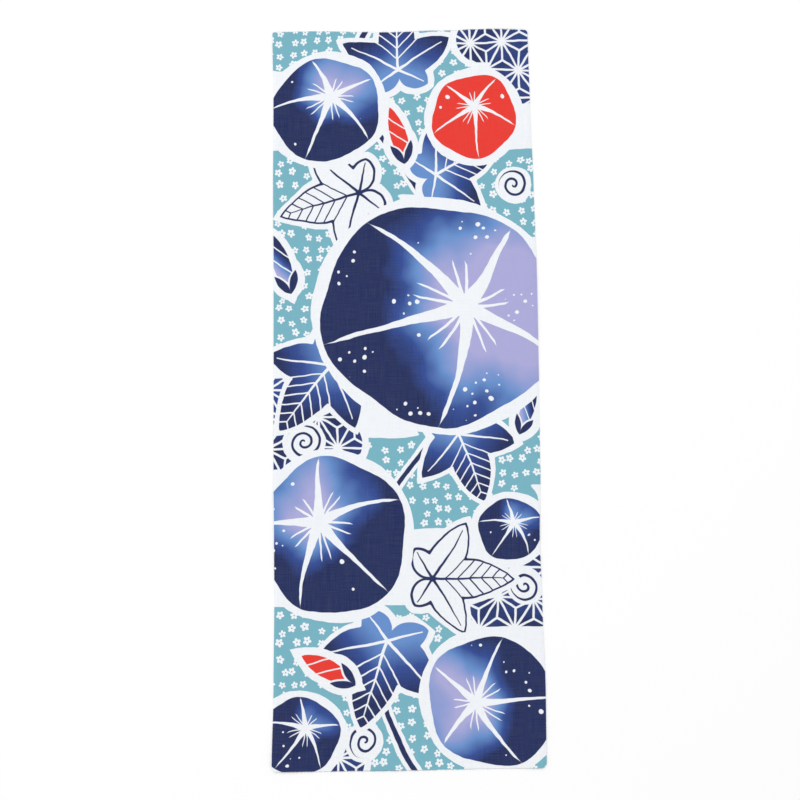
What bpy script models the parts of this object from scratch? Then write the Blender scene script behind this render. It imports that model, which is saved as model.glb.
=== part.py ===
"""Tenugui towel: one cut length of plain woven cotton, laid out flat with its own slightly uneven edges.

The cloth lies on z = 0 with its length along Y, head end at +Y, and the printed face up.
"""

from collections import namedtuple

import bmesh
import bpy
from mathutils import Vector

# Driving dimensions, in metres
CLOTH_WIDTH = 0.350
CLOTH_LENGTH = 0.990
CLOTH_THICKNESS = 0.001
CORNER_RADIUS = 0.006
CORNER_STEPS = 4
CELLS_ACROSS = 20
CELLS_ALONG = 56
SHARP_ANGLE = 0.6

# Dyed cotton as a whole, seen from a distance
COTTON_COLOUR = (0.36, 0.47, 0.66, 1.0)
COTTON_ROUGHNESS = 0.9

# How far the long edges stand out from straight lines, outwards positive.
# along runs from -1 at the foot end to 1 at the head end.
LongEdge = namedtuple("LongEdge", "along left right")
LONG_EDGES = (
    LongEdge(-1.00, 0.0026, -0.0010),
    LongEdge(-0.78, 0.0002, 0.0002),
    LongEdge(-0.56, -0.0008, -0.0014),
    LongEdge(-0.42, -0.0005, -0.0026),
    LongEdge(-0.22, 0.0003, 0.0006),
    LongEdge(0.00, 0.0002, 0.0018),
    LongEdge(0.33, 0.0002, 0.0025),
    LongEdge(0.56, 0.0010, 0.0011),
    LongEdge(0.78, 0.0005, -0.0008),
    LongEdge(1.00, 0.0018, -0.0020),
)

# How far the cut ends stand out from straight lines, outwards positive.
# across runs from -1 at the left edge to 1 at the right edge.
CutEnd = namedtuple("CutEnd", "across foot head")
CUT_ENDS = (
    CutEnd(-1.00, 0.0006, 0.0002),
    CutEnd(-0.70, 0.0004, 0.0009),
    CutEnd(-0.35, 0.0000, -0.0004),
    CutEnd(-0.05, 0.0001, -0.0015),
    CutEnd(0.30, -0.0004, -0.0003),
    CutEnd(0.70, -0.0009, 0.0011),
    CutEnd(1.00, -0.0004, -0.0006),
)

# Where the cloth's rim stands a little high. The solid's underside stays flat there.
# across and along place the middle of each rise, as shares of the half width and half length.
Rise = namedtuple("Rise", "across along reach_across reach_along height")
RISES = (
    Rise(-1.05, -1.03, 0.075, 0.080, 0.0015),
    Rise(1.05, -1.02, 0.060, 0.090, 0.0011),
    Rise(-1.05, 1.02, 0.065, 0.070, 0.0012),
    Rise(1.05, 1.03, 0.080, 0.085, 0.0016),
    Rise(-1.08, -0.36, 0.045, 0.110, 0.0008),
    Rise(1.08, -0.42, 0.050, 0.095, 0.0010),
    Rise(-1.08, 0.44, 0.042, 0.120, 0.0007),
    Rise(1.08, 0.18, 0.046, 0.130, 0.0009),
    Rise(0.12, 1.04, 0.070, 0.045, 0.0007),
    Rise(-0.20, -1.04, 0.080, 0.040, 0.0006),
)


def read_off(table, key, column, at):
    """The value of a table's column at a place, eased between the two rows around it."""
    for low, high in zip(table, table[1:]):
        start, end = getattr(low, key), getattr(high, key)
        if at <= end:
            share = (at - start) / (end - start)
            eased = share * share * (3 - 2 * share)
            return getattr(low, column) * (1 - eased) + getattr(high, column) * eased
    return getattr(table[-1], column)


def upper_face(x, y):
    """The height of the cloth's upper face."""
    height = CLOTH_THICKNESS
    for rise in RISES:
        dx = (x - rise.across * CLOTH_WIDTH / 2) / rise.reach_across
        dy = (y - rise.along * CLOTH_LENGTH / 2) / rise.reach_along
        height += rise.height * max(0.0, 1 - dx * dx - dy * dy) ** 2
    return height


def place_on_cloth(across, along):
    """The underside's point for a place on the cloth, each given from -1 to 1."""
    left = read_off(LONG_EDGES, "along", "left", along)
    right = read_off(LONG_EDGES, "along", "right", along)
    foot = read_off(CUT_ENDS, "across", "foot", across)
    head = read_off(CUT_ENDS, "across", "head", across)
    x = across * CLOTH_WIDTH / 2 + right * (1 + across) / 2 - left * (1 - across) / 2
    y = along * CLOTH_LENGTH / 2 + head * (1 + along) / 2 - foot * (1 - along) / 2
    return Vector((x, y, 0))


def round_corners(mesh):
    """Turn the sheet's four corner points into short arcs."""
    corners = [point for point in mesh.verts if len(point.link_faces) == 1]
    bmesh.ops.bevel(
        mesh,
        geom=corners,
        offset=CORNER_RADIUS,
        segments=CORNER_STEPS,
        profile=0.5,
        affect="VERTICES",
    )


def centre_on_origin(mesh):
    """Slide the sheet so that the middle of its bounding box is at x = 0, y = 0."""
    xs = [point.co.x for point in mesh.verts]
    ys = [point.co.y for point in mesh.verts]
    middle = Vector(((min(xs) + max(xs)) / 2, (min(ys) + max(ys)) / 2, 0))
    bmesh.ops.translate(mesh, verts=mesh.verts, vec=-middle)


def cotton():
    material = bpy.data.materials.new("printed_cotton")
    material.use_nodes = True
    shader = material.node_tree.nodes["Principled BSDF"]
    shader.inputs["Base Color"].default_value = COTTON_COLOUR
    shader.inputs["Roughness"].default_value = COTTON_ROUGHNESS
    shader.inputs["Metallic"].default_value = 0.0
    return material


def raise_upper_face(mesh):
    """Extrude the flat sheet into a thin solid whose upper face has the cloth's low rises."""
    raised = bmesh.ops.extrude_face_region(mesh, geom=mesh.faces[:])["geom"]
    for point in raised:
        if isinstance(point, bmesh.types.BMVert):
            point.co.z = upper_face(point.co.x, point.co.y)
    bmesh.ops.recalc_face_normals(mesh, faces=mesh.faces)


def towel_cloth():
    """The cloth as one thin solid, flat below, as it lies."""
    mesh = bmesh.new()
    bmesh.ops.create_grid(mesh, x_segments=CELLS_ACROSS, y_segments=CELLS_ALONG, size=1)
    for point in mesh.verts:
        point.co = place_on_cloth(point.co.x, point.co.y)
    round_corners(mesh)
    centre_on_origin(mesh)
    raise_upper_face(mesh)

    sheet = bpy.data.meshes.new("towel_cloth")
    mesh.to_mesh(sheet)
    mesh.free()
    sheet.materials.append(cotton())
    cloth = bpy.data.objects.new("towel_cloth", sheet)
    bpy.context.scene.collection.objects.link(cloth)
    sheet.shade_smooth()
    sheet.set_sharp_from_angle(angle=SHARP_ANGLE)


def main():
    for thing in list(bpy.data.objects):
        bpy.data.objects.remove(thing, do_unlink=True)
    towel_cloth()


main()
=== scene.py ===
"""Tenugui hand towel: a cut length of thin plain-woven cotton, dyed with morning glories and laid out flat.

Lengths are in metres. The print is drawn in millimetres from the middle of the cloth, head end up.
"""

import math
from collections import namedtuple
from random import Random

import bpy
from bpy.props import FloatProperty, FloatVectorProperty, PointerProperty
from mathutils import Matrix, Vector


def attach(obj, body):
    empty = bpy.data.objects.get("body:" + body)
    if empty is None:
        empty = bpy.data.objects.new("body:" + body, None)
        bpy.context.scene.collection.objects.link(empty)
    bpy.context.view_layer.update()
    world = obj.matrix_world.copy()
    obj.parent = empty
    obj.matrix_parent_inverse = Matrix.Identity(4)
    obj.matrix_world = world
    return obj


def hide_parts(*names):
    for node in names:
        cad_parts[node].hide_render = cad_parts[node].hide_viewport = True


bl_info = {
    "name": "Tenugui towel",
    "version": (1, 0, 0),
    "blender": (4, 5, 0),
    "location": "3D View > Sidebar > Tenugui",
    "description": "Lays out a dyed cotton hand towel with its weave, selvedges and cut ends",
    "category": "Object",
}

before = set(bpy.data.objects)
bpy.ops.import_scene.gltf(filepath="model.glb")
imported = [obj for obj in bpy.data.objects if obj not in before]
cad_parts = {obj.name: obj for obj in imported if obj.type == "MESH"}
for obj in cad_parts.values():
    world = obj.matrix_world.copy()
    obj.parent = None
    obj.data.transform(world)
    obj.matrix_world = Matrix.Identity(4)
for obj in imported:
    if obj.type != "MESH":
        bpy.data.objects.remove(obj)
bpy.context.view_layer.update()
CLOTH_NODE = "towel_cloth"
BODY = "root"
HEAD, FOOT = 1, -1

FLAT_WIDTH = 0.350
FLAT_LENGTH = 0.990
MILLIMETRES = 1000

# How far the long edges stand out from straight lines, outwards positive.
# along runs from -1 at the foot end to 1 at the head end.
LongEdge = namedtuple("LongEdge", "along left right")
LONG_EDGES = (
    LongEdge(-1.00, 0.0026, -0.0010),
    LongEdge(-0.78, 0.0002, 0.0002),
    LongEdge(-0.56, -0.0008, -0.0014),
    LongEdge(-0.42, -0.0005, -0.0026),
    LongEdge(-0.22, 0.0003, 0.0006),
    LongEdge(0.00, 0.0002, 0.0018),
    LongEdge(0.33, 0.0002, 0.0025),
    LongEdge(0.56, 0.0010, 0.0011),
    LongEdge(0.78, 0.0005, -0.0008),
    LongEdge(1.00, 0.0018, -0.0020),
)

# How far the cut ends stand out from straight lines, outwards positive.
# across runs from -1 at the left edge to 1 at the right edge.
CutEnd = namedtuple("CutEnd", "across foot head")
CUT_ENDS = (
    CutEnd(-1.00, 0.0006, 0.0002),
    CutEnd(-0.70, 0.0004, 0.0009),
    CutEnd(-0.35, 0.0000, -0.0004),
    CutEnd(-0.05, 0.0001, -0.0015),
    CutEnd(0.30, -0.0004, -0.0003),
    CutEnd(0.70, -0.0009, 0.0011),
    CutEnd(1.00, -0.0004, -0.0006),
)

# How round each corner is, as a share of the corner radius, by its side and its end
CORNER_SHARES = {(-1, HEAD): 0.3, (1, HEAD): 0.7, (-1, FOOT): 0.9, (1, FOOT): 1.1}

# Where the cloth's rim lifts a little off what it lies on.
# across and along place the middle of each rise, as shares of the half width and half length.
Rise = namedtuple("Rise", "across along reach_across reach_along height")
RISES = (
    Rise(-1.05, -1.03, 0.075, 0.080, 0.0015),
    Rise(1.05, -1.02, 0.060, 0.090, 0.0011),
    Rise(-1.05, 1.02, 0.065, 0.070, 0.0012),
    Rise(1.05, 1.03, 0.080, 0.085, 0.0016),
    Rise(-1.08, -0.36, 0.045, 0.110, 0.0008),
    Rise(1.08, -0.42, 0.050, 0.095, 0.0010),
    Rise(-1.08, 0.44, 0.042, 0.120, 0.0007),
    Rise(1.08, 0.18, 0.046, 0.130, 0.0009),
    Rise(0.12, 1.04, 0.070, 0.045, 0.0007),
    Rise(-0.20, -1.04, 0.080, 0.040, 0.0006),
)

# The print's motifs. Angles are in degrees, and later blossoms lie over earlier ones.
Band = namedtuple("Band", "x y half")
TEAL_BANDS = (
    Band(-20, 472, 150),
    Band(20, 416, 90),
    Band(16, 358, 70),
    Band(-110, 294, 70),
    Band(80, 294, 110),
    Band(-120, 236, 90),
    Band(160, 236, 40),
    Band(-150, 178, 60),
    Band(-165, 120, 50),
    Band(-172, 62, 40),
    Band(130, -40, 90),
    Band(60, -98, 130),
    Band(50, -156, 90),
    Band(-76, -318, 124),
    Band(-80, -376, 120),
    Band(-30, -434, 60),
    Band(60, -482, 110),
)
NAVY_BANDS = (
    Band(156, 480, 50),
    Band(174, 422, 30),
    Band(-150, -16, 60),
    Band(-160, -74, 70),
    Band(172, -226, 40),
    Band(146, -284, 40),
    Band(-160, -486, 70),
)

Blossom = namedtuple("Blossom", "x y across along turn tone red")
BLOSSOMS = (
    Blossom(-104, 384, 76, 70, 34, 0.08, 0),
    Blossom(-142, -452, 50, 48, 15, 0.28, 0),
    Blossom(106, -410, 84, 80, 150, 0.02, 0),
    Blossom(-98, -196, 102, 96, 100, 0.08, 0),
    Blossom(134, -190, 42, 40, 20, 0.20, 0),
    Blossom(46, 98, 158, 148, -20, -0.07, 0),
    Blossom(98, 372, 60, 56, 60, 0.0, 1),
)

Leaf = namedtuple("Leaf", "x y size turn lined")
LEAVES = (
    Leaf(-4, 440, 104, 4, 0),
    Leaf(44, 292, 96, -66, 0),
    Leaf(-62, 268, 110, 108, 1),
    Leaf(-98, 30, 110, 140, 0),
    Leaf(70, -62, 96, -160, 0),
    Leaf(34, -251, 104, -92, 1),
    Leaf(-26, -334, 116, 160, 0),
)

Bud = namedtuple("Bud", "x y size turn red")
BUDS = (
    Bud(2, 306, 84, 12, 1),
    Bud(-150, 130, 84, 20, 0),
    Bud(150, -66, 70, -20, 0),
    Bud(-70, -386, 80, 62, 1),
)

# way is 1 for a curl that grows counter-clockwise, and -1 for one that grows clockwise
Curl = namedtuple("Curl", "x y size turn way")
CURLS = (
    Curl(150, 276, 20, 200, 1),
    Curl(-136, -72, 24, 30, 1),
    Curl(150, -262, 20, 150, -1),
    Curl(-60, -460, 20, 270, 1),
)

# How far up from its place a motif's middle is, as a share of its size
MOTIF_MIDDLE = 0.4

# The print's lines, in millimetres
EDGE_SOFTNESS = 0.4
WHITE_RIM = 9.0
STEM_RIM = 5.0
STEM_HALF = 3.2
CURL_HALF = 1.7
CURL_GAP = 11.0
LEAF_OUTLINE = 3.4
SEPAL_RIM = 2.2
BAND_ROUND = 32.0
BAND_JOIN = 9.0
HEMP_SIDE = 46.0
HEMP_LINE = 1.4

# The ways that the hemp-leaf lattice's lines face, in degrees, and the value between its two kinds of sum
HEMP_TURNS = (90, 210, 330)
HEMP_HALFWAY = 1.5

# How far outlines sway from their drawn places, in millimetres, over what distance
Sway = namedtuple("Sway", "span reach")
HAND_SWAYS = (
    Sway(60, 9.0),
    Sway(9, 1.2),
)
NO_SHIFT = (0.5, 0.5, 0.5)

# Soft patches in the dyes: their size in millimetres and how fine they get
MOTTLE_SPAN = 70
MOTTLE_DETAIL = 2

# The stem is a sum of bends, in millimetres. start is in radians.
Bend = namedtuple("Bend", "span reach start")
STEM_BENDS = (
    Bend(118, 62, 0.9),
    Bend(47, 14, 2.0),
)
STEM_SIDE = 8.0

# A blossom's parts. Lengths are shares of its radius.
RAYS = 5
STROKES = 20
THROAT = 0.11
THROAT_LEAN = (0.20, 0.16, 0)
RIM_SWELL = 0.03
RAY_SPREAD = 0.07
RAY_HALF = 0.018
RAY_POINT = 0.2
STROKE_HALF = 0.018
STROKE_TAPER = 0.02
STROKE_REACH = 1.3
STROKE_START = 0.05
OUTSIDE_ALL = (9.0, 9.0, 0.0)

# How fast the blues darken from a blossom's throat outwards, to its two sides and between its rays
DARKER_OUT = 0.62
DARKER_SIDES = (-0.34, -0.16)
DARKER_FOLD = 0.16
DARKER_MOTTLE = 0.3
DARKER_START = 0.05

# Undyed dots on the blossoms. Lengths are in millimetres.
DOT_SPACING = 15.0
DOT_EVENNESS = 0.2
DOT_SMALL = 1.2
DOT_SPREAD = 2.4
DOT_ROOM = (2.0, 9.0)
SHOWER_EDGE = 0.05
SHOWER_FRAY = 0.12

# Small blossoms on the teal bands. Lengths are in millimetres.
SPRIG_SPACING = 17.0
SPRIG_EVENNESS = 0.48
SPRIG_PETALS = 5
SPRIG_TURN = 9.0
SPRIG_WAIST = 2.2
SPRIG_PETAL = 2.4
SPRIG_SPREAD = 0.9
SPRIG_EYE = 1.0
SPRIG_ROOM = 4.2

# The lobes of leaves and buds, as shares of their size.
# turn is from the middle of the leaf or bud, in degrees, and point is how sharply the tip is drawn in.
Lobe = namedtuple("Lobe", "turn length width point")
LEAF_LOBES = (
    Lobe(0, 1.00, 0.30, 0.9),
    Lobe(60, 0.80, 0.26, 1.4),
    Lobe(124, 0.44, 0.16, 0.0),
)
LOBE_JOIN = 0.05
BUD_BODY = Lobe(0, 1.0, 0.135, 0.0)
BUD_SEPAL = Lobe(26, 0.40, 0.06, 0.0)

# The undyed lines that twist around a bud, and how fast its blues darken
BUD_TWISTS = 3.7
BUD_TWIST_SLANT = 4.5
BUD_TWIST_START = 0.3
BUD_TWIST_HALF = 0.010
BUD_DARKER_OUT = 0.8
BUD_DARKER_SIDE = 1.5
BUD_DARKER_START = 0.1

# A leaf's veins, as shares of its size, and how fast its blues darken
VEIN_HALF = 0.018
VEIN_TAPER = 0.014
VEIN_REACH = 0.86
RIBS = 7
RIB_HALF = 0.011
RIB_SLANT = 0.9
RIB_SPREAD = 1.1
RIB_START = 0.05
LEAF_DARKER_OUT = 0.75
LEAF_DARKER_SIDE = 0.5
LEAF_DARKER_MOTTLE = 0.2

# Blues that run into each other, each at its place from 0 to 1
BlueStop = namedtuple("BlueStop", "place dye")
PETAL_BLUES = (
    BlueStop(0.26, "lavender"),
    BlueStop(0.43, "sky"),
    BlueStop(0.56, "royal"),
    BlueStop(0.68, "navy"),
)
LEAF_BLUES = (
    BlueStop(0.05, "sky"),
    BlueStop(0.30, "royal"),
    BlueStop(0.54, "navy"),
)
BAND_BLUES = (
    BlueStop(0.10, "navy"),
    BlueStop(0.60, "royal"),
    BlueStop(0.95, "sky"),
)

# How much the patches shift the bands' blues, and the place they shift them from
BAND_MOTTLE = 1.6
BAND_START = 0.3


def linear(red, green, blue):
    """A screen colour, from 0 to 255, as the linear values that a shader takes, by the sRGB curve."""
    def one(level):
        share = level / 255
        return share / 12.92 if share <= 0.04045 else ((share + 0.055) / 1.055) ** 2.4
    return (one(red), one(green), one(blue), 1.0)


def a_length(name, default, description):
    return FloatProperty(name=name, description=description, default=default, unit="LENGTH", precision=5)


def a_colour(name, default, description):
    return FloatVectorProperty(
        name=name, description=description, subtype="COLOR", size=4, min=0, max=1, default=default
    )


class ClothSettings(bpy.types.PropertyGroup):
    """Sizes of the cloth"""

    thickness: a_length("Thickness", 0.0005, "Thickness of the woven cotton")
    corner_radius: a_length("Corner radius", 0.006, "Rounding of the four corners")
    cell: a_length("Mesh cell", 0.005, "Size of the cloth's mesh cells")
    yarn_pitch: a_length("Yarn pitch", 0.0005, "Distance between neighbouring yarns")
    selvedge: a_length("Selvedge", 0.004, "Width of the denser weave along the long edges")
    longest_end: a_length("Longest warp end", 0.0016, "How far the cut yarns stand out at most")


class DyeSettings(bpy.types.PropertyGroup):
    """Colours of the cotton and its dyes"""

    cotton: a_colour("Cotton", linear(247, 250, 254), "The undyed cotton")
    navy: a_colour("Navy", linear(28, 42, 92), "The darkest blue dye")
    royal: a_colour("Royal blue", linear(48, 76, 150), "The strong blue dye")
    sky: a_colour("Sky blue", linear(104, 146, 208), "The middle blue dye")
    lavender: a_colour("Lavender", linear(176, 174, 222), "The palest dye")
    teal: a_colour("Teal", linear(122, 183, 199), "The green-blue dye")
    red: a_colour("Red", linear(238, 56, 44), "The red dye")


class StageSettings(bpy.types.PropertyGroup):
    """Floor and light"""

    floor: a_colour("Floor", (0.985, 0.985, 0.985, 1), "Colour of the floor")
    room_light: FloatProperty(name="Room light", description="Strength of the even light", default=0.785)
    softbox_power: FloatProperty(
        name="Softbox", description="Power of the softbox", default=55, unit="POWER"
    )


# Shader nodes
MIX_SOCKETS = {"FLOAT": (2, 3, 0), "VECTOR": (4, 5, 1), "RGBA": (6, 7, 2)}
NODES_IN_COLUMN = 14
NODE_STEP = (200, -190)
NEW_STOP = 0.5


class Nodes:
    """Adds nodes to one material."""

    def __init__(self, material):
        material.use_nodes = True
        self.tree = material.node_tree
        self.tree.nodes.clear()

    def add(self, kind, settings=None, inputs=None):
        """One node: its settings first, then the values or links of its sockets."""
        node = self.tree.nodes.new(kind)
        column, row = divmod(len(self.tree.nodes), NODES_IN_COLUMN)
        node.location = (column * NODE_STEP[0], row * NODE_STEP[1])
        for name, value in (settings or {}).items():
            if name == "stops":
                self.set_stops(node.color_ramp, value)
            else:
                setattr(node, name, value)
        for name, value in (inputs or {}).items():
            if isinstance(value, Value):
                value = value.socket
            if isinstance(value, bpy.types.NodeSocket):
                self.tree.links.new(value, node.inputs[name])
            else:
                node.inputs[name].default_value = value
        return node

    def set_stops(self, ramp, stops):
        """The places and colours of a colour ramp's stops."""
        while len(ramp.elements) < len(stops):
            ramp.elements.new(NEW_STOP)
        for element, (place, colour) in zip(ramp.elements, stops):
            element.position = place
            element.color = colour

    def math(self, operation, *terms):
        """A sum on numbers."""
        node = self.add("ShaderNodeMath", {"operation": operation}, dict(enumerate(terms)))
        return Value(self, node.outputs[0])

    def vector(self, operation, *terms):
        """A sum on vectors that gives a vector."""
        node = self.add("ShaderNodeVectorMath", {"operation": operation}, dict(enumerate(terms)))
        return node.outputs[0]

    def scale(self, vector, factor):
        """A vector or colour times a number."""
        node = self.add("ShaderNodeVectorMath", {"operation": "SCALE"}, {0: vector, "Scale": factor})
        return node.outputs[0]

    def length(self, vector):
        """A vector's length."""
        node = self.add("ShaderNodeVectorMath", {"operation": "LENGTH"}, {0: vector})
        return Value(self, node.outputs["Value"])

    def split(self, vector, count=2):
        """The first numbers of a vector."""
        node = self.add("ShaderNodeSeparateXYZ", None, {0: vector})
        return tuple(Value(self, output) for output in node.outputs[:count])

    def join(self, x, y):
        """A flat vector from its two numbers."""
        return self.add("ShaderNodeCombineXYZ", None, {0: x, 1: y}).outputs[0]

    def mix(self, kind, share, low, high):
        """low where share is 0, high where it is 1."""
        first, second, out = MIX_SOCKETS[kind]
        node = self.add("ShaderNodeMix", {"data_type": kind}, {0: share, first: low, second: high})
        return Value(self, node.outputs[0]) if kind == "FLOAT" else node.outputs[out]

    def place(self, point, x, y, turn, across, along):
        """point in a motif's own frame, in units of its size."""
        motif = {
            "Vector": point,
            "Location": (x, y, 0),
            "Rotation": (0, 0, math.radians(turn)),
            "Scale": (across, along, 1),
        }
        return self.add("ShaderNodeMapping", {"vector_type": "TEXTURE"}, motif).outputs[0]

    def ease(self, value, low, high):
        """0 below low, 1 above high, eased between."""
        limits = {"Value": value, "From Min": low, "From Max": high}
        node = self.add("ShaderNodeMapRange", {"interpolation_type": "SMOOTHSTEP"}, limits)
        return Value(self, node.outputs[0])

    def noise(self, point, scale, detail=0.0):
        """Soft random numbers around 0.5, and soft random colours."""
        node = self.add("ShaderNodeTexNoise", None, {"Vector": point, "Scale": scale, "Detail": detail})
        return Value(self, node.outputs["Fac"]), node.outputs["Color"]

    def scatter(self, point, spacing, evenness):
        """Scattered points: each place as seen from the nearest one, and that one's random numbers."""
        cells = self.add(
            "ShaderNodeTexVoronoi",
            {"voronoi_dimensions": "2D"},
            {"Vector": point, "Scale": 1 / spacing, "Randomness": 1 - evenness},
        )
        return self.vector("SUBTRACT", point, cells.outputs["Position"]), self.split(cells.outputs["Color"])

    def blues(self, share, stops, dyes):
        """Blues that run into each other, by the stops of a table."""
        colours = tuple((stop.place, getattr(dyes, stop.dye)) for stop in stops)
        return self.add("ShaderNodeValToRGB", {"stops": colours}, {0: share}).outputs[0]

    def dye(self, colour, field, dye):
        """dye laid over colour where field, in millimetres, is over 0."""
        return self.mix("RGBA", self.ease(field, -EDGE_SOFTNESS, EDGE_SOFTNESS), colour, dye)


class Value:
    """A number that changes over a surface: a socket that takes part in Python sums."""

    def __init__(self, nodes, socket):
        self.nodes = nodes
        self.socket = socket

    def __add__(self, other):
        return self.nodes.math("ADD", self, other)

    def __sub__(self, other):
        return self.nodes.math("SUBTRACT", self, other)

    def __rsub__(self, other):
        return self.nodes.math("SUBTRACT", other, self)

    def __mul__(self, other):
        return self.nodes.math("MULTIPLY", self, other)

    def __truediv__(self, other):
        return self.nodes.math("DIVIDE", self, other)

    def __rtruediv__(self, other):
        return self.nodes.math("DIVIDE", other, self)

    def __lt__(self, other):
        return self.nodes.math("LESS_THAN", self, other)

    def __gt__(self, other):
        return self.nodes.math("GREATER_THAN", self, other)

    def __neg__(self):
        return self * -1

    def __abs__(self):
        return self.nodes.math("ABSOLUTE", self)

    __radd__ = __add__
    __rmul__ = __mul__


def least(first, *others):
    for other in others:
        first = first.nodes.math("MINIMUM", first, other)
    return first


def most(first, *others):
    for other in others:
        first = first.nodes.math("MAXIMUM", first, other)
    return first


def fillet(first, second, reach):
    """The greater of two values, rounded over the given reach where they meet."""
    return first.nodes.math("SMOOTH_MAX", first, second, reach)


def sine(value):
    return value.nodes.math("SINE", value)


def cosine(value):
    return value.nodes.math("COSINE", value)


def root(value):
    return value.nodes.math("SQRT", value)


def repeat(value):
    """How far value is from the nearest whole number, from 0 to 0.5."""
    return abs(value.nodes.math("FRACT", value + 0.5) - 0.5)


# The print
def nearest(nodes, spot, motifs, trait):
    """The nearest motif of a table: the place in its frame, its size and its trait."""
    local, traits, best = None, None, None
    for motif in motifs:
        here = nodes.place(spot, motif.x, motif.y, motif.turn, motif.size, motif.size)
        here_traits = (motif.size, getattr(motif, trait), 0)
        x, y = nodes.split(here)
        gap = nodes.length(nodes.join(x, y - MOTIF_MIDDLE))
        if best is None:
            local, traits, best = here, here_traits, gap
            continue
        nearer = gap < best
        local = nodes.mix("VECTOR", nearer, local, here)
        traits = nodes.mix("VECTOR", nearer, traits, here_traits)
        best = least(gap, best)
    size, kind = nodes.split(traits)
    return local, size, kind


def topmost_blossom(nodes, spot):
    """The uppermost blossom: the place in its frame, its radius, tone and redness, and 1 where one lies."""
    local, traits, inside = OUTSIDE_ALL, (1.0, 0.0, 0.0), 0.0
    for blossom in BLOSSOMS:
        here = nodes.place(spot, blossom.x, blossom.y, blossom.turn, blossom.across, blossom.along)
        within = nodes.length(here) < 1 + RIM_SWELL + WHITE_RIM / blossom.across
        local = nodes.mix("VECTOR", within, local, here)
        traits = nodes.mix("VECTOR", within, traits, (blossom.across, blossom.tone, blossom.red))
        inside = most(within, inside)
    return local, nodes.split(traits, 3), inside


def rays(out, fold):
    """Undyed rays from a blossom's throat to its rim: over 0 inside them."""
    left_over = most(1 - out, 0.0)
    half = least(left_over * left_over * RAY_SPREAD + RAY_HALF, left_over * RAY_POINT)
    return half - out * sine(fold * (math.tau / RAYS))


def strokes(out, angle, fold):
    """Short undyed strokes around a blossom's throat, two in each petal: over 0 inside them."""
    side = repeat(angle * (STROKES / math.tau) + 0.5) * out * (math.tau / STROKES)
    half = STROKE_HALF - out * STROKE_TAPER
    return least(half - side, fold * STROKE_REACH - STROKE_START - out)


def dots(nodes, spot, clear):
    """Undyed dots in loose showers: over 0 inside them. They shrink where clear, their room, runs out."""
    here, chance = nodes.scatter(spot, DOT_SPACING, DOT_EVENNESS)
    middle = nodes.vector("SUBTRACT", spot, here)
    falls = nodes.noise(middle, 1 / MOTTLE_SPAN)[0] - 0.5 > chance[0] * SHOWER_FRAY + SHOWER_EDGE
    radius = (DOT_SMALL + chance[1] * DOT_SPREAD) * falls * nodes.ease(clear, *DOT_ROOM)
    return radius - EDGE_SOFTNESS - nodes.length(here)


def paint_blossoms(nodes, spot, colour, dyes, mottle):
    """Morning glories seen from the front: dark at the rim, with five pale rays from the throat."""
    local, (radius, tone, red), inside = topmost_blossom(nodes, spot)
    reach = nodes.length(local)
    lean = nodes.scale(THROAT_LEAN, 1 - reach * reach)
    petal_spot = nodes.vector("SUBTRACT", local, lean)
    x, y = nodes.split(petal_spot)
    out = nodes.length(petal_spot)
    angle = nodes.math("ARCTAN2", y, x)
    fold = repeat(angle * (RAYS / math.tau))

    petal = (1 + cosine(fold * math.tau) * RIM_SWELL - reach) * radius
    undyed = most(rays(out, fold), strokes(out, angle, fold), THROAT - out) * radius
    clear = least(petal, -undyed)
    clear = least(clear, -dots(nodes, spot, clear))

    shade = out * DARKER_OUT + x * DARKER_SIDES[0] + y * DARKER_SIDES[1] + fold * DARKER_FOLD
    shade = shade + mottle * DARKER_MOTTLE + tone + DARKER_START
    blue = nodes.blues(shade, PETAL_BLUES, dyes)
    petal_dye = nodes.mix("RGBA", red, blue, dyes.red)
    colour = nodes.mix("RGBA", inside, colour, dyes.cotton)
    return nodes.dye(colour, clear, petal_dye)


def blade(nodes, side, along, lobe):
    """A pointed blade from the stalk: over 0 inside it, with the places along and beside its middle."""
    turn = math.radians(lobe.turn)
    up = side * math.sin(turn) + along * math.cos(turn)
    off = abs(side * math.cos(turn) - along * math.sin(turn))
    half = lobe.length / 2
    bow = (half * half + lobe.width * lobe.width) / (2 * lobe.width)
    drawn_in = off * (1 + up * up * lobe.point) if lobe.point else off
    return bow - nodes.length(nodes.join(drawn_in + (bow - lobe.width), up - half)), up, off


def paint_leaves(nodes, spot, colour, dyes, mottle):
    """Three-lobed leaves with cut veins. Lined ones are left undyed inside their outline."""
    local, size, lined = nearest(nodes, spot, LEAVES, "lined")
    across, along = nodes.split(local)
    side = abs(across)
    form, veins = None, None
    for lobe in LEAF_LOBES:
        shape, up, off = blade(nodes, side, along, lobe)
        half = VEIN_HALF - up * (VEIN_TAPER / lobe.length)
        vein = least(half - off, up, lobe.length * VEIN_REACH - up)
        form = shape if form is None else fillet(form, shape, LOBE_JOIN)
        veins = vein if veins is None else most(veins, vein)
    rib = RIB_HALF - repeat((along - side * RIB_SLANT) * RIBS) / RIBS
    rib = least(rib, along - side * RIB_SPREAD - RIB_START)
    veins = most(veins, rib) * size
    form = form * size
    dyed = nodes.mix("FLOAT", lined, -veins, most(veins, LEAF_OUTLINE - form))
    shade = along * LEAF_DARKER_OUT + side * LEAF_DARKER_SIDE + mottle * LEAF_DARKER_MOTTLE
    blue = nodes.blues(shade + lined, LEAF_BLUES, dyes)
    colour = nodes.dye(colour, form + WHITE_RIM, dyes.cotton)
    return nodes.dye(colour, least(form, dyed), blue)


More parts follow.
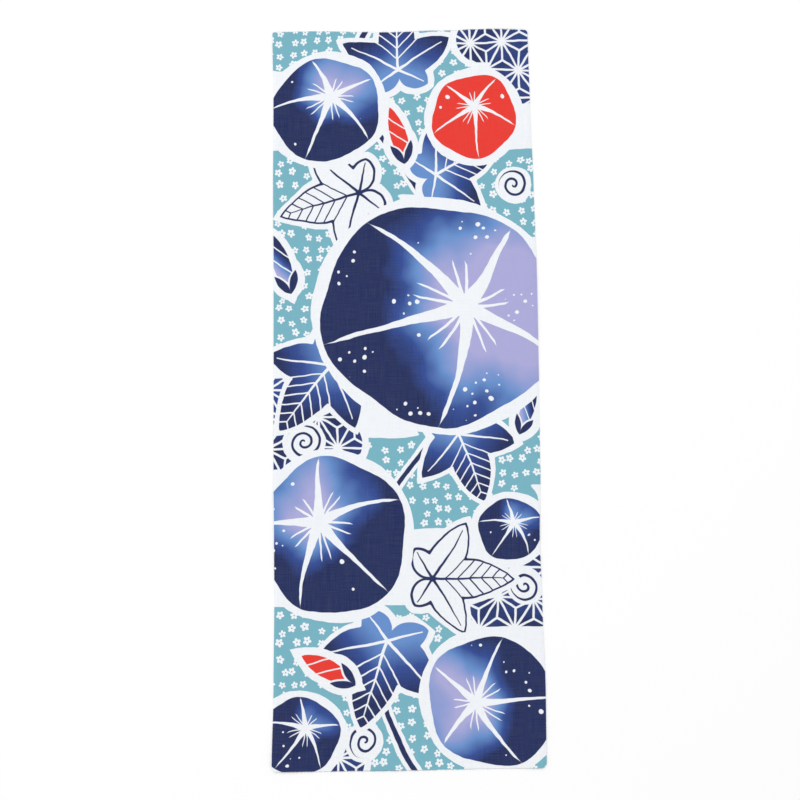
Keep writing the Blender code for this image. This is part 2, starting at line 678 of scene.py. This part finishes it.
def paint_buds(nodes, spot, colour, dyes):
    """Twisted buds, each in two sepals."""
    local, size, red = nearest(nodes, spot, BUDS, "red")
    across, along = nodes.split(local)
    body = blade(nodes, across, along, BUD_BODY)[0] * size
    sepal = blade(nodes, abs(across), along, BUD_SEPAL)[0] * size
    twist = repeat(along * BUD_TWISTS + across * BUD_TWIST_SLANT + BUD_TWIST_START)
    twist = (twist / math.hypot(BUD_TWISTS, BUD_TWIST_SLANT) - BUD_TWIST_HALF) * size
    shade = along * BUD_DARKER_OUT + across * BUD_DARKER_SIDE + BUD_DARKER_START
    blue = nodes.blues(shade, PETAL_BLUES, dyes)
    petal = nodes.mix("RGBA", red, blue, dyes.red)
    colour = nodes.dye(colour, most(body, sepal) + WHITE_RIM, dyes.cotton)
    colour = nodes.dye(colour, least(body, twist, -SEPAL_RIM - sepal), petal)
    return nodes.dye(colour, sepal, dyes.navy)


def band_field(nodes, spot, bands):
    """Mist bands with round ends, joined where they touch: over 0 inside them, in millimetres."""
    x, y = nodes.split(spot)
    field = None
    for band in bands:
        past_end = most(abs(x - float(band.x)) - float(band.half), 0.0)
        form = BAND_ROUND - nodes.length(nodes.join(past_end, y - float(band.y)))
        field = form if field is None else fillet(field, form, BAND_JOIN)
    return field


def sprigs(nodes, spot):
    """Small scattered five-petalled blossoms, where a teal band has room: over 0 inside them."""
    here, chance = nodes.scatter(spot, SPRIG_SPACING, SPRIG_EVENNESS)
    room = band_field(nodes, nodes.vector("SUBTRACT", spot, here), TEAL_BANDS)
    x, y = nodes.split(here)
    out = nodes.length(here)
    turn = nodes.math("ARCTAN2", y, x) * (SPRIG_PETALS / 2) + chance[0] * SPRIG_TURN
    petals = abs(cosine(turn))
    reach = petals * SPRIG_PETAL + SPRIG_WAIST + chance[1] * SPRIG_SPREAD
    return least(reach * (room > SPRIG_ROOM) - out, out - SPRIG_EYE)


def hemp_leaf(nodes, spot):
    """The hemp-leaf lattice: how far each place is from the nearest line, in millimetres."""
    x, y = nodes.split(spot)
    height = HEMP_SIDE * math.sqrt(3) / 2
    shares = []
    for turn in HEMP_TURNS:
        across = math.cos(math.radians(turn)) / height
        along = math.sin(math.radians(turn)) / height
        shares.append(nodes.math("FRACT", x * across + y * along))
    # The three shares add up to 1 in every other triangle, and to 2 in the rest
    flip = (shares[0] + shares[1] + shares[2]) > HEMP_HALFWAY
    shares = [abs(flip - share) for share in shares]
    low = least(*shares)
    middle = 1 - low - most(*shares)
    return least(low * height, (middle - low) * (height / math.sqrt(3)))


def paint_bands(nodes, spot, colour, dyes, mottle):
    """Teal bands of mist with small blossoms, and blue ones with the hemp-leaf lattice."""
    teal = band_field(nodes, spot, TEAL_BANDS)
    colour = nodes.dye(colour, least(teal, -sprigs(nodes, spot)), dyes.teal)
    navy = band_field(nodes, spot, NAVY_BANDS)
    blue = nodes.blues(mottle * BAND_MOTTLE + BAND_START, BAND_BLUES, dyes)
    colour = nodes.dye(colour, navy + WHITE_RIM, dyes.cotton)
    return nodes.dye(colour, least(navy, hemp_leaf(nodes, spot) - HEMP_LINE), blue)


def paint_stems(nodes, spot, colour, dyes):
    """The winding stem and its curled tendrils."""
    x, y = nodes.split(spot)
    side, slope = STEM_SIDE, 0.0
    for bend in STEM_BENDS:
        turn = y * (1 / bend.span) + bend.start
        side = sine(turn) * bend.reach + side
        slope = cosine(turn) * (bend.reach / bend.span) + slope
    stem = STEM_HALF - abs(x - side) / root(slope * slope + 1)

    local, size, way = nearest(nodes, spot, CURLS, "way")
    across, along = nodes.split(local)
    out = nodes.length(local) * size
    winding = out / CURL_GAP - way * nodes.math("ARCTAN2", along, across) / math.tau
    curl = least(CURL_HALF - repeat(winding) * CURL_GAP, size - out)

    line = most(stem, curl)
    colour = nodes.dye(colour, line + STEM_RIM, dyes.cotton)
    return nodes.dye(colour, line, dyes.navy)


def hand_cut(nodes, flat):
    """Places that sway a little, so that the outlines look cut by hand."""
    spot = flat
    for sway in HAND_SWAYS:
        shift = nodes.vector("SUBTRACT", nodes.noise(flat, 1 / sway.span)[1], NO_SHIFT)
        spot = nodes.vector("MULTIPLY_ADD", shift, (sway.reach, sway.reach, 0), spot)
    return spot


def print_colour(nodes, flat, dyes):
    """The dyed design, from its lowest layer to its highest."""
    spot = hand_cut(nodes, flat)
    mottle = nodes.noise(flat, 1 / MOTTLE_SPAN, MOTTLE_DETAIL)[0] - 0.5
    colour = tuple(dyes.cotton)
    colour = paint_bands(nodes, spot, colour, dyes, mottle)
    colour = paint_stems(nodes, spot, colour, dyes)
    colour = paint_leaves(nodes, spot, colour, dyes, mottle)
    colour = paint_buds(nodes, spot, colour, dyes)
    return paint_blossoms(nodes, spot, colour, dyes, mottle)


# The cotton
CUT_PLACE = "cut_place"
COTTON_MATERIAL = "printed_cotton_dyed"
SELVEDGE_DENSITY = 0.7
SOAKED_THROUGH = 0.66
FACES_DOWN = -0.3
MEAN_RELIEF = 0.5
# The weave's painted shade and light: colour darkened between the yarns and lightened on their tops
PAINTED_WEAVE_SHADE = 0.12
BARE_YARN = 0.05
BARE_BELOW = 0.5
WEAVE_DEPTH = 0.00014
WEAVE_STRENGTH = 0.8
COTTON_ROUGHNESS = 0.9
COTTON_SPECULAR = 0.15
COTTON_FUZZ = 0.04
FUZZ_ROUGHNESS = 0.6

# Slubs, drawn by noise: its cells to the millimetre across the yarns, and their millimetres along them
SLUB_ACROSS = 1.4
WARP_SLUB = 38
WEFT_SLUB = 30
SLUB_DETAIL = 1
SLUB_SHADE = 0.1
SLUB_RELIEF = 1.5
SLUB_GLOSS = 0.15


def weave(nodes, cut, settings):
    """The plain weave's relief, from 0 between the yarns to 1 on top of them."""
    x, y = nodes.split(cut)
    turns = math.pi / (settings.yarn_pitch * MILLIMETRES)
    past = most(abs(x) - (FLAT_WIDTH / 2 - settings.selvedge) * MILLIMETRES, 0.0)
    warp = sine((x + past * SELVEDGE_DENSITY) * turns)
    weft = sine(y * turns)
    warp_over = (warp * weft) > 0
    warp, weft = abs(warp), abs(weft)
    return nodes.mix("FLOAT", warp_over, weft * root(warp), warp * root(weft))


def slubs(nodes, cut):
    """Thicker and thinner lengths of yarn, along and across the cloth, around 0."""
    along = nodes.vector("MULTIPLY", cut, (SLUB_ACROSS, 1 / WARP_SLUB, 0))
    across = nodes.vector("MULTIPLY", cut, (1 / WEFT_SLUB, SLUB_ACROSS, 0))
    return nodes.noise(along, 1.0, SLUB_DETAIL)[0] + nodes.noise(across, 1.0, SLUB_DETAIL)[0] - 1


def printed_cotton(settings, dyes):
    """Plain-woven cotton with the print on its face, soaked through more weakly to its back."""
    if COTTON_MATERIAL in bpy.data.materials:
        return bpy.data.materials[COTTON_MATERIAL]
    material = bpy.data.materials.new(COTTON_MATERIAL)
    nodes = Nodes(material)
    coordinates = nodes.add("ShaderNodeTexCoord").outputs
    flat = nodes.vector("MULTIPLY", coordinates["Object"], (MILLIMETRES, MILLIMETRES, 0))
    colour = print_colour(nodes, flat, dyes)
    behind = nodes.split(coordinates["Normal"], 3)[2] < FACES_DOWN
    colour = nodes.mix("RGBA", behind * (1 - SOAKED_THROUGH), colour, dyes.cotton)

    cut = nodes.add("ShaderNodeAttribute", {"attribute_name": CUT_PLACE}).outputs["Vector"]
    relief = weave(nodes, cut, settings)
    slub = slubs(nodes, cut)
    bare = nodes.ease(relief + slub, BARE_BELOW, 0.0) * BARE_YARN
    colour = nodes.mix("RGBA", bare, colour, dyes.cotton)
    # Painted shade between the yarns and painted light on their tops, with the slubs' lengths made lighter
    # and darker
    colour = nodes.scale(colour, 1 + (relief - MEAN_RELIEF) * PAINTED_WEAVE_SHADE + slub * SLUB_SHADE)
    height = {
        "Strength": WEAVE_STRENGTH,
        "Distance": WEAVE_DEPTH,
        "Height": relief + slub * SLUB_RELIEF,
    }
    finish = {
        "Base Color": colour,
        "Roughness": COTTON_ROUGHNESS - slub * SLUB_GLOSS,
        "Normal": nodes.add("ShaderNodeBump", None, height).outputs[0],
        "Specular IOR Level": COTTON_SPECULAR,
        "Sheen Weight": COTTON_FUZZ,
        "Sheen Roughness": FUZZ_ROUGHNESS,
    }
    shader = nodes.add("ShaderNodeBsdfPrincipled", None, finish)
    nodes.add("ShaderNodeOutputMaterial", None, {"Surface": shader.outputs[0]})
    return material


# The cloth
OUTLINE_STEPS = 200
SHARP_ANGLE = 0.6

# Lines of the mesh beside its edges, by their distance from the edge
EDGE_LINES = (0.0, 0.0005, 0.0012, 0.0022, 0.0035, 0.005, 0.0075)

# Very slight ripples: the distance between crests across and along the cloth, and their start in radians
Ripple = namedtuple("Ripple", "across along start height")
RIPPLES = (
    Ripple(0.23, 0.61, 0.7, 0.00026),
    Ripple(-0.31, 0.27, 2.1, 0.00018),
    Ripple(0.13, 1.30, 4.0, 0.00012),
)


def read_off(table, key, column, at):
    """The value of a table's column at a place, eased between the two rows around it."""
    for low, high in zip(table, table[1:]):
        start, end = getattr(low, key), getattr(high, key)
        if at <= end:
            share = (at - start) / (end - start)
            eased = share * share * (3 - 2 * share)
            return getattr(low, column) * (1 - eased) + getattr(high, column) * eased
    return getattr(table[-1], column)


def rise_at(x, y):
    """How far the cloth lifts off what it lies on."""
    height = 0.0
    for rise in RISES:
        dx = (x - rise.across * FLAT_WIDTH / 2) / rise.reach_across
        dy = (y - rise.along * FLAT_LENGTH / 2) / rise.reach_along
        height += rise.height * max(0.0, 1 - dx * dx - dy * dy) ** 2
    for ripple in RIPPLES:
        turn = math.tau * (x / ripple.across + y / ripple.along) + ripple.start
        height += ripple.height * (1 + math.sin(turn)) / 2
    return height


def round_off(x, y, radius):
    """A place near a corner of the cut, drawn in so that the corner is round."""
    radius *= CORNER_SHARES[math.copysign(1, x), math.copysign(1, y)]
    a = (abs(x) - FLAT_WIDTH / 2) / radius + 1
    b = (abs(y) - FLAT_LENGTH / 2) / radius + 1
    if a <= 0 or b <= 0:
        return x, y
    in_x = radius * (1 - a * math.sqrt(1 - b * b / 2))
    in_y = radius * (1 - b * math.sqrt(1 - a * a / 2))
    return math.copysign(FLAT_WIDTH / 2 - in_x, x), math.copysign(FLAT_LENGTH / 2 - in_y, y)


def place_on_cloth(x, y, radius):
    """Where a point of the cut cloth, measured from its middle, ends up on the floor."""
    across, along = 2 * x / FLAT_WIDTH, 2 * y / FLAT_LENGTH
    left = read_off(LONG_EDGES, "along", "left", along)
    right = read_off(LONG_EDGES, "along", "right", along)
    foot = read_off(CUT_ENDS, "across", "foot", across)
    head = read_off(CUT_ENDS, "across", "head", across)
    x, y = round_off(x, y, radius)
    x += right * (1 + across) / 2 - left * (1 - across) / 2
    y += head * (1 + along) / 2 - foot * (1 - along) / 2
    return x, y


def outline_places():
    """Places all along the cut's edges."""
    shares = [step / OUTLINE_STEPS for step in range(-OUTLINE_STEPS, OUTLINE_STEPS + 1)]
    half_width, half_length = FLAT_WIDTH / 2, FLAT_LENGTH / 2
    sides = [(side * half_width, share * half_length) for side in (-1, 1) for share in shares]
    ends = [(share * half_width, end * half_length) for end in (FOOT, HEAD) for share in shares]
    return sides + ends


def middle_of_cloth(radius):
    """The middle of the laid cloth's outline, which the frame has at its origin."""
    ends = [place_on_cloth(x, y, radius) for x, y in outline_places()]
    xs, ys = [x for x, y in ends], [y for x, y in ends]
    return (min(xs) + max(xs)) / 2, (min(ys) + max(ys)) / 2


def grid_lines(length, cell):
    """Places across a side, evenly spaced in the middle and closer near both edges."""
    half = length / 2
    inner = half - EDGE_LINES[-1]
    steps = round(2 * inner / cell)
    middle = [-inner + 2 * inner * step / steps for step in range(1, steps)]
    near = [edge - half for edge in EDGE_LINES]
    return near + middle + [-place for place in reversed(near)]


# The cloth's map, with its margin and the width of its rim as shares of the map
BAKE_MAP = "OFBake"
MAP_MARGIN = 0.012
MAP_RIM = 0.006


def map_place(x, y, back):
    """Where a place of the cut lies on the map: the face in its left half, the back in its right half."""
    across = x / FLAT_WIDTH + 0.5
    along = y / FLAT_LENGTH + 0.5
    if back:
        across = 1 - across
    wide = 0.5 - 2 * MAP_MARGIN
    return 0.5 * back + MAP_MARGIN + across * wide, MAP_MARGIN + along * (1 - 2 * MAP_MARGIN)


def map_rim(x, y):
    """Where the cut's thin rim lies on the map: just outside the face."""
    u, v = map_place(x, y, False)
    if abs(x) == FLAT_WIDTH / 2:
        u += math.copysign(MAP_RIM, x)
    if abs(y) == FLAT_LENGTH / 2:
        v += math.copysign(MAP_RIM, y)
    return u, v


def sheet_faces(wide, tall):
    """Faces of a sheet of wide by tall points: its upper side, its lower side and its rim."""
    count = wide * tall
    upper = []
    for row in range(tall - 1):
        for column in range(wide - 1):
            first = row * wide + column
            upper.append((first, first + 1, first + 1 + wide, first + wide))
    lower = [tuple(count + point for point in reversed(face)) for face in upper]
    edge = list(range(wide - 1))
    edge += [row * wide + wide - 1 for row in range(tall - 1)]
    edge += [(tall - 1) * wide + column for column in range(wide - 1, 0, -1)]
    edge += [row * wide for row in range(tall - 1, 0, -1)]
    rim = [(b, a, a + count, b + count) for a, b in zip(edge, edge[1:] + edge[:1])]
    return upper, lower, rim


def sheet_points(cut_places, settings):
    """Points of the cloth's upper and lower side, as it lies."""
    mid_x, mid_y = middle_of_cloth(settings.corner_radius)
    above, below = [], []
    for x, y in cut_places:
        x, y = place_on_cloth(x, y, settings.corner_radius)
        x, y = x - mid_x, y - mid_y
        height = rise_at(x, y)
        above.append((x, y, height + settings.thickness))
        below.append((x, y, height))
    return above, below


def lay_map(mesh, cut_places, upper, lower, rim):
    """Spread the face, the back and the rim side by side on the cloth's map."""
    count = len(cut_places)
    face_map = [map_place(x, y, False) for x, y in cut_places]
    back_map = [map_place(x, y, True) for x, y in cut_places]
    rim_map = [map_rim(x, y) for x, y in cut_places]
    spots = [face_map[point] for face in upper for point in face]
    spots += [back_map[point - count] for face in lower for point in face]
    for near, start, start_below, near_below in rim:
        spots += [face_map[near], face_map[start], rim_map[start], rim_map[near]]
    bake_map = mesh.uv_layers.new(name=BAKE_MAP)
    bake_map.data.foreach_set("uv", [number for spot in spots for number in spot])


def note_cut_places(mesh, places):
    """Keep, for each point, its place on the flat cut in millimetres, which the weave follows."""
    attribute = mesh.attributes.new(CUT_PLACE, "FLOAT_VECTOR", "POINT")
    values = [number for x, y in places for number in (x * MILLIMETRES, y * MILLIMETRES, 0.0)]
    attribute.data.foreach_set("vector", values)


def cotton_piece(name, points, faces, cut_places, context):
    """A new piece of the printed cotton, which lies still with the towel."""
    mesh = bpy.data.meshes.new(name)
    mesh.from_pydata(points, [], faces)
    note_cut_places(mesh, cut_places)
    mesh.materials.append(printed_cotton(context.scene.tenugui_cloth, context.scene.tenugui_dyes))
    mesh.shade_smooth()
    piece = bpy.data.objects.new(name, mesh)
    context.scene.collection.objects.link(piece)
    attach(piece, BODY)
    return piece


class TENUGUI_OT_cloth(bpy.types.Operator):
    """Make the dyed cotton cloth"""

    bl_idname = "tenugui.cloth"
    bl_label = "Cloth"

    def execute(self, context):
        settings = context.scene.tenugui_cloth
        columns = grid_lines(FLAT_WIDTH, settings.cell)
        rows = grid_lines(FLAT_LENGTH, settings.cell)
        cut_places = [(x, y) for y in rows for x in columns]
        above, below = sheet_points(cut_places, settings)
        upper, lower, rim = sheet_faces(len(columns), len(rows))
        cloth = cotton_piece("printed_cloth", above + below, upper + lower + rim, cut_places * 2, context)
        cloth.data.set_sharp_from_angle(angle=SHARP_ANGLE)
        lay_map(cloth.data, cut_places, upper, lower, rim)
        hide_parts(CLOTH_NODE)
        return {"FINISHED"}


# The cut yarns
WARP_ENDS = {"head_warp_ends": HEAD, "foot_warp_ends": FOOT}
ROOT_DEPTH = 0.0006
SHORTEST_SHARE = 0.15

# A yarn's radius as a share of the yarn pitch, its tip's as a share of that, and its corners in degrees
YARN_SHARE = 0.28
TIP_SHARE = 0.6
YARN_CORNERS = (90, 210, 330)

# A warp end's drift and lift at its tip, as shares of its length, and its middle's share of each
END_DRIFT = 0.35
END_LOWEST = -0.1
END_HIGHEST = 0.2
BOW_DRIFT = 0.3
BOW_LIFT = 0.4

# Loose weft yarns beside the cut ends: where each starts and stops, and its gap from the end
STRAY_STEP = 0.002
STRAY_SWAY = 0.00008
STRAY_MEMORY = 0.8
Stray = namedtuple("Stray", "end start stop gap")
STRAYS = (
    Stray(HEAD, -0.150, -0.062, 0.0004),
    Stray(HEAD, 0.020, 0.146, 0.0005),
    Stray(HEAD, 0.090, 0.158, 0.0009),
    Stray(FOOT, -0.128, 0.034, 0.0005),
    Stray(FOOT, 0.074, 0.152, 0.0004),
    Stray(FOOT, -0.060, -0.012, 0.0009),
)


def yarn(points, radii):
    """A thin yarn along points, with a few flat sides: its corners and faces."""
    corners, faces = [], []
    sides = len(YARN_CORNERS)
    for i, (point, radius) in enumerate(zip(points, radii)):
        ahead = points[min(i + 1, len(points) - 1)] - points[max(i - 1, 0)]
        side = ahead.cross(Vector((0, 0, 1))).normalized()
        up = side.cross(ahead).normalized()
        for turn in YARN_CORNERS:
            spoke = up * math.sin(math.radians(turn)) + side * math.cos(math.radians(turn))
            corners.append(point + spoke * radius)
    for ring in range(len(points) - 1):
        for corner in range(sides):
            a, b = ring * sides + corner, ring * sides + (corner + 1) % sides
            faces.append((a, b, b + sides, a + sides))
    faces.append(tuple(reversed(range(sides))))
    faces.append(tuple(range(len(corners) - sides, len(corners))))
    return corners, faces


def warp_end(x, end, settings, middle, random):
    """One warp yarn's short loose end at a cut end: its points, from inside the cloth to its tip."""
    length = settings.longest_end * (SHORTEST_SHARE + (1 - SHORTEST_SHARE) * random.random() ** 2)
    drift = length * random.uniform(-END_DRIFT, END_DRIFT)
    lift = length * random.uniform(END_LOWEST, END_HIGHEST)
    start_x, start_y = place_on_cloth(x, end * FLAT_LENGTH / 2, settings.corner_radius)
    start_x, start_y = start_x - middle[0], start_y - middle[1]
    height = rise_at(start_x, start_y) + settings.thickness / 2
    return [
        Vector((start_x, start_y - end * ROOT_DEPTH, height)),
        Vector((start_x + drift * BOW_DRIFT, start_y + end * length / 2, height + lift * BOW_LIFT)),
        Vector((start_x + drift, start_y + end * length, height + lift)),
    ]


def stray_weft(stray, settings, middle, random):
    """A weft yarn that has worked loose beside a cut end: its points."""
    points = []
    sway = 0.0
    for i in range(int((stray.stop - stray.start) / STRAY_STEP) + 1):
        sway = STRAY_MEMORY * sway + random.uniform(-1, 1) * STRAY_SWAY
        cut_x = stray.start + i * STRAY_STEP
        x, y = place_on_cloth(cut_x, stray.end * FLAT_LENGTH / 2, settings.corner_radius)
        x, y = x - middle[0], y - middle[1]
        height = rise_at(x, y) + settings.thickness / 2
        points.append(Vector((x, y + stray.end * stray.gap + sway, height + abs(sway))))
    return points


class TENUGUI_OT_warp_ends(bpy.types.Operator):
    """Make the short loose yarns along the two cut ends"""

    bl_idname = "tenugui.warp_ends"
    bl_label = "Warp ends"

    def execute(self, context):
        settings = context.scene.tenugui_cloth
        middle = middle_of_cloth(settings.corner_radius)
        radius = settings.yarn_pitch * YARN_SHARE
        reach = FLAT_WIDTH / 2 - settings.corner_radius
        for name, end in WARP_ENDS.items():
            random = Random(name)
            yarns = []
            for i in range(int(2 * reach / settings.yarn_pitch) + 1):
                points = warp_end(i * settings.yarn_pitch - reach, end, settings, middle, random)
                yarns.append(yarn(points, (radius, radius, radius * TIP_SHARE)))
            for stray in STRAYS:
                if stray.end == end:
                    points = stray_weft(stray, settings, middle, random)
                    yarns.append(yarn(points, [radius] * len(points)))
            corners, faces = [], []
            for yarn_corners, yarn_faces in yarns:
                faces += [tuple(len(corners) + point for point in face) for face in yarn_faces]
                corners += yarn_corners
            cut_places = [(corner.x, corner.y) for corner in corners]
            cotton_piece(name, corners, faces, cut_places, context)
        return {"FINISHED"}


# The stage
FLOOR_HALF = 20.0
FLOOR_HEIGHT = -0.0002
FLOOR_ROUGHNESS = 0.95
SOFTBOX_SIDE = 3.6
SOFTBOX_PLACE = Vector((-0.8, 1.0, 4.0))
CAMERA_DISTANCE = 2.0
CAMERA_TILT = math.radians(8.414)
CAMERA_ROLL = math.radians(-0.694)
CAMERA_LENS = 67.94
CAMERA_SENSOR = 36
AIM = Vector((-0.0078, -0.0171, 0))


def pale_floor(settings):
    """A wide flat floor just under the cloth."""
    corners = ((-FLOOR_HALF, -FLOOR_HALF), (FLOOR_HALF, -FLOOR_HALF))
    corners += ((FLOOR_HALF, FLOOR_HALF), (-FLOOR_HALF, FLOOR_HALF))
    mesh = bpy.data.meshes.new("floor")
    mesh.from_pydata([(x, y, FLOOR_HEIGHT) for x, y in corners], [], [(0, 1, 2, 3)])
    material = bpy.data.materials.new("floor_paper")
    nodes = Nodes(material)
    finish = {"Base Color": settings.floor, "Roughness": FLOOR_ROUGHNESS, "Specular IOR Level": 0.0}
    shader = nodes.add("ShaderNodeBsdfPrincipled", None, finish)
    nodes.add("ShaderNodeOutputMaterial", None, {"Surface": shader.outputs[0]})
    mesh.materials.append(material)
    return bpy.data.objects.new("floor", mesh)


def room_light(settings):
    """Even white light from all around."""
    world = bpy.data.worlds.new("studio")
    world.use_nodes = True
    background = world.node_tree.nodes["Background"]
    background.inputs["Color"].default_value = (1, 1, 1, 1)
    background.inputs["Strength"].default_value = settings.room_light
    return world


def softbox(settings):
    """A large square light above the cloth, turned to its middle."""
    light = bpy.data.lights.new("softbox", "AREA")
    light.size = SOFTBOX_SIDE
    light.energy = settings.softbox_power
    lamp = bpy.data.objects.new("softbox", light)
    lamp.location = SOFTBOX_PLACE
    lamp.rotation_euler = (-SOFTBOX_PLACE).to_track_quat("-Z", "Y").to_euler()
    return lamp


def tilted_camera():
    """A camera almost straight above the cloth, a little tilted and rolled."""
    camera = bpy.data.cameras.new("camera")
    camera.lens = CAMERA_LENS
    camera.sensor_width = CAMERA_SENSOR
    eye = bpy.data.objects.new("camera", camera)
    look = Vector((0, math.sin(CAMERA_TILT), -math.cos(CAMERA_TILT)))
    right = Vector((1, 0, 0))
    up = right.cross(look)
    rolled_right = right * math.cos(CAMERA_ROLL) + up * math.sin(CAMERA_ROLL)
    rolled_up = up * math.cos(CAMERA_ROLL) - right * math.sin(CAMERA_ROLL)
    axes = Matrix((rolled_right, rolled_up, -look)).transposed().to_4x4()
    axes.translation = AIM - look * CAMERA_DISTANCE
    eye.matrix_world = axes
    return eye


class TENUGUI_OT_stage(bpy.types.Operator):
    """Set the pale floor, the soft studio light and the camera"""

    bl_idname = "tenugui.stage"
    bl_label = "Stage"

    def execute(self, context):
        scene = context.scene
        settings = scene.tenugui_stage
        floor, lamp, eye = pale_floor(settings), softbox(settings), tilted_camera()
        for thing in (floor, lamp, eye):
            scene.collection.objects.link(thing)
        scene.world = room_light(settings)
        scene.camera = eye
        scene.view_settings.view_transform = "Standard"
        return {"FINISHED"}


class TENUGUI_PT_panel(bpy.types.Panel):
    """The towel's pieces, sizes and dyes"""

    bl_label = "Tenugui towel"
    bl_idname = "TENUGUI_PT_panel"
    bl_space_type = "VIEW_3D"
    bl_region_type = "UI"
    bl_category = "Tenugui"

    def draw(self, context):
        layout = self.layout
        scene = context.scene
        for group in (scene.tenugui_cloth, scene.tenugui_dyes, scene.tenugui_stage):
            for name in group.__annotations__:
                layout.prop(group, name)
        layout.operator("tenugui.cloth")
        layout.operator("tenugui.warp_ends")
        layout.operator("tenugui.stage")


CLASSES = (
    ClothSettings,
    DyeSettings,
    StageSettings,
    TENUGUI_OT_stage,
    TENUGUI_OT_warp_ends,
    TENUGUI_OT_cloth,
    TENUGUI_PT_panel,
)


def register():
    for kind in CLASSES:
        bpy.utils.register_class(kind)
    bpy.types.Scene.tenugui_cloth = PointerProperty(type=ClothSettings)
    bpy.types.Scene.tenugui_dyes = PointerProperty(type=DyeSettings)
    bpy.types.Scene.tenugui_stage = PointerProperty(type=StageSettings)


def unregister():
    del bpy.types.Scene.tenugui_stage
    del bpy.types.Scene.tenugui_dyes
    del bpy.types.Scene.tenugui_cloth
    for kind in reversed(CLASSES):
        bpy.utils.unregister_class(kind)


def main():
    register()
    bpy.ops.tenugui.stage()
    bpy.ops.tenugui.warp_ends()
    bpy.ops.tenugui.cloth()


if __name__ == "__main__":
    main()
